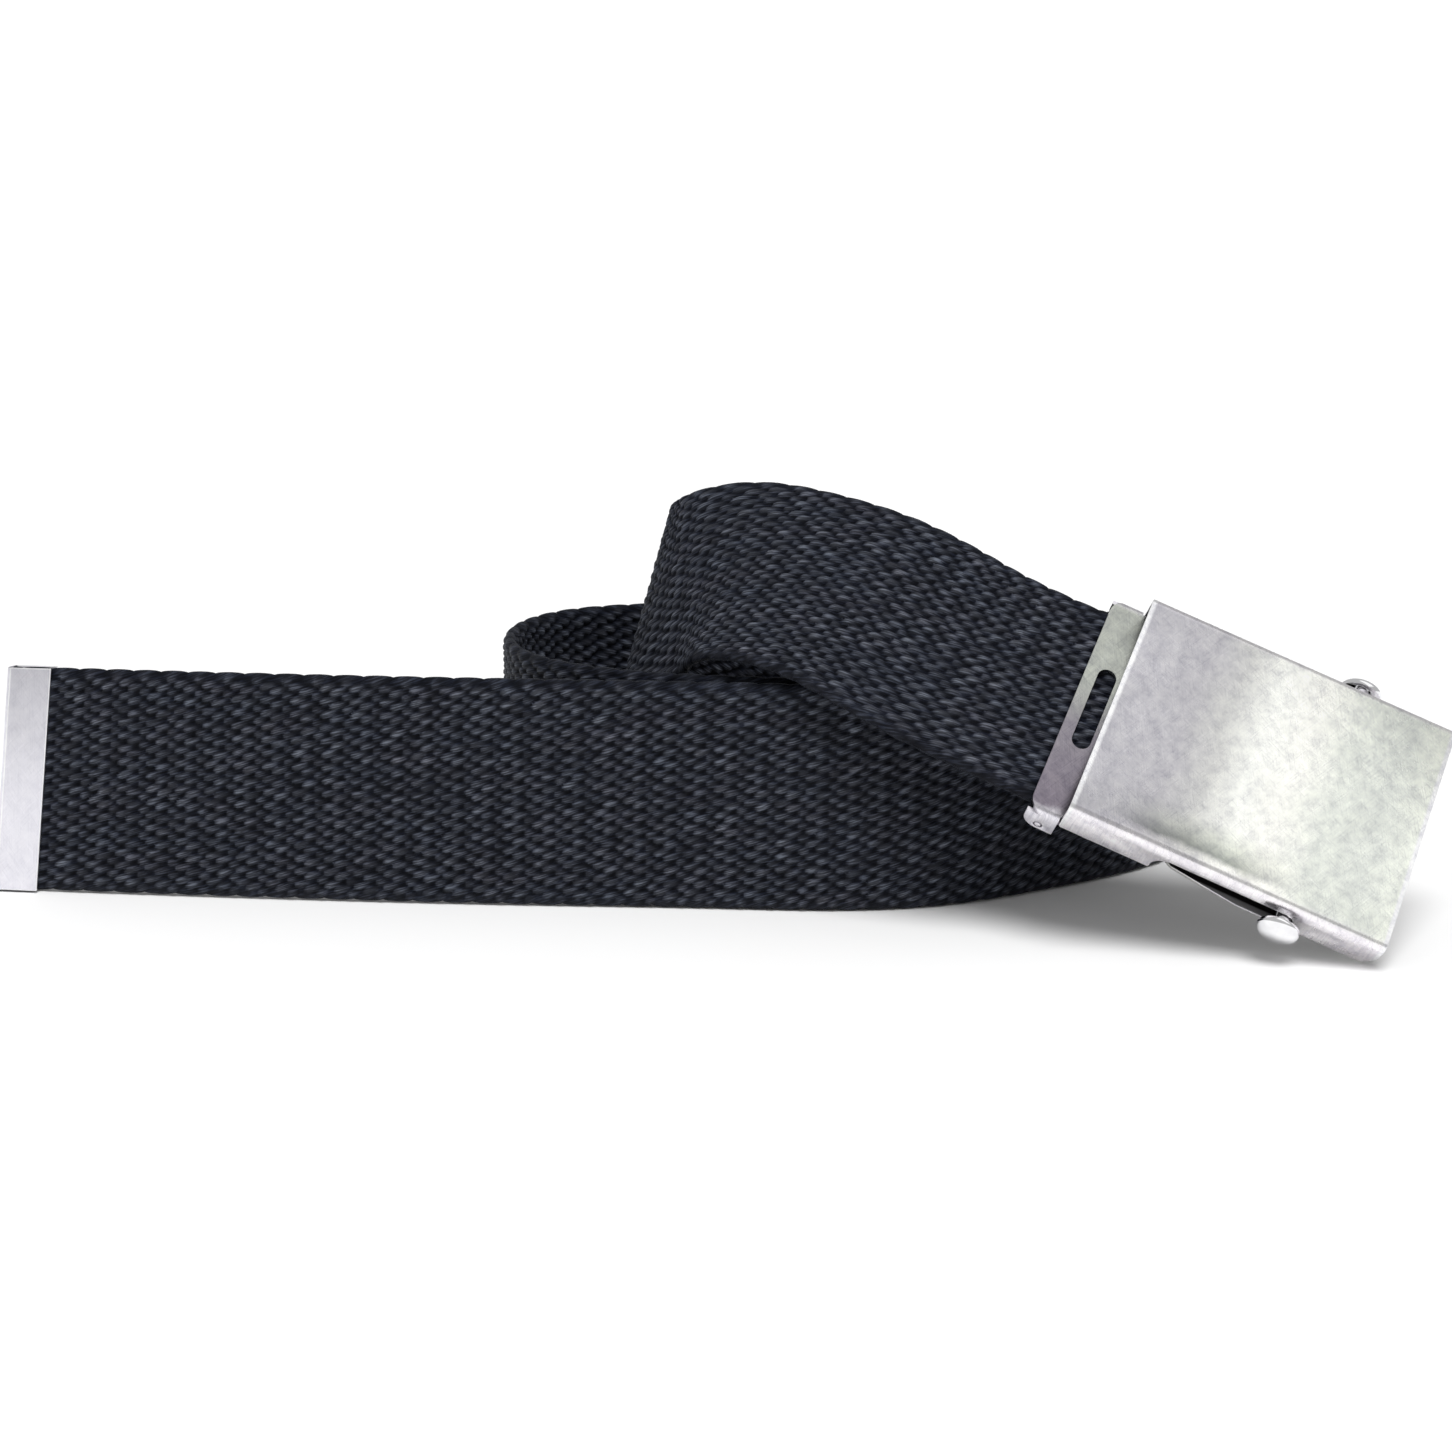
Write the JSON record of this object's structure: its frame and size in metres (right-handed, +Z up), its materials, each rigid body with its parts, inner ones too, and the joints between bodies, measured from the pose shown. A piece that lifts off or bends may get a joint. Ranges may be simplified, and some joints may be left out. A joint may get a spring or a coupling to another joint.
{
  "type": "web belt",
  "caption": "Black canvas web belt lying in a loose double coil, with a metal end tip and a slide-bar box buckle that grips the free end.",
  "frame": {"origin": "middle of the footprint, on the surface that the belt lies on", "axes": "+Z up, +X along the front run from the free end towards the buckle, +Y to the back of the coil"},
  "size_m": [0.2384, 0.102, 0.0659],
  "materials": {
    "canvas": "matt coarse weave",
    "nickel": "worn antique nickel",
    "satin_metal": "satin",
    "bright_metal": "polished"
  },
  "bodies": {
    "belt": {"webbing": "canvas", "end_tip": "satin_metal", "buckle_cover": "nickel", "inner_frame": "nickel"},
    "bar": {"lock_bar": "bright_metal"},
    "jaw": {"clamp_jaw": "nickel"}
  },
  "joints": [
    {"name": "lock_slide", "type": "slide", "parent": "belt", "child": "bar", "axis": [0.9091, -0.1639, -0.3829], "range_m": [-0.012, 0]},
    {"name": "jaw_pivot", "type": "hinge", "parent": "belt", "child": "jaw", "pos_m": [0.05997, -0.02243, 0.03303], "axis": [0.3927, 0.6439, 0.6566], "range_deg": [0, 75]}
  ]
}
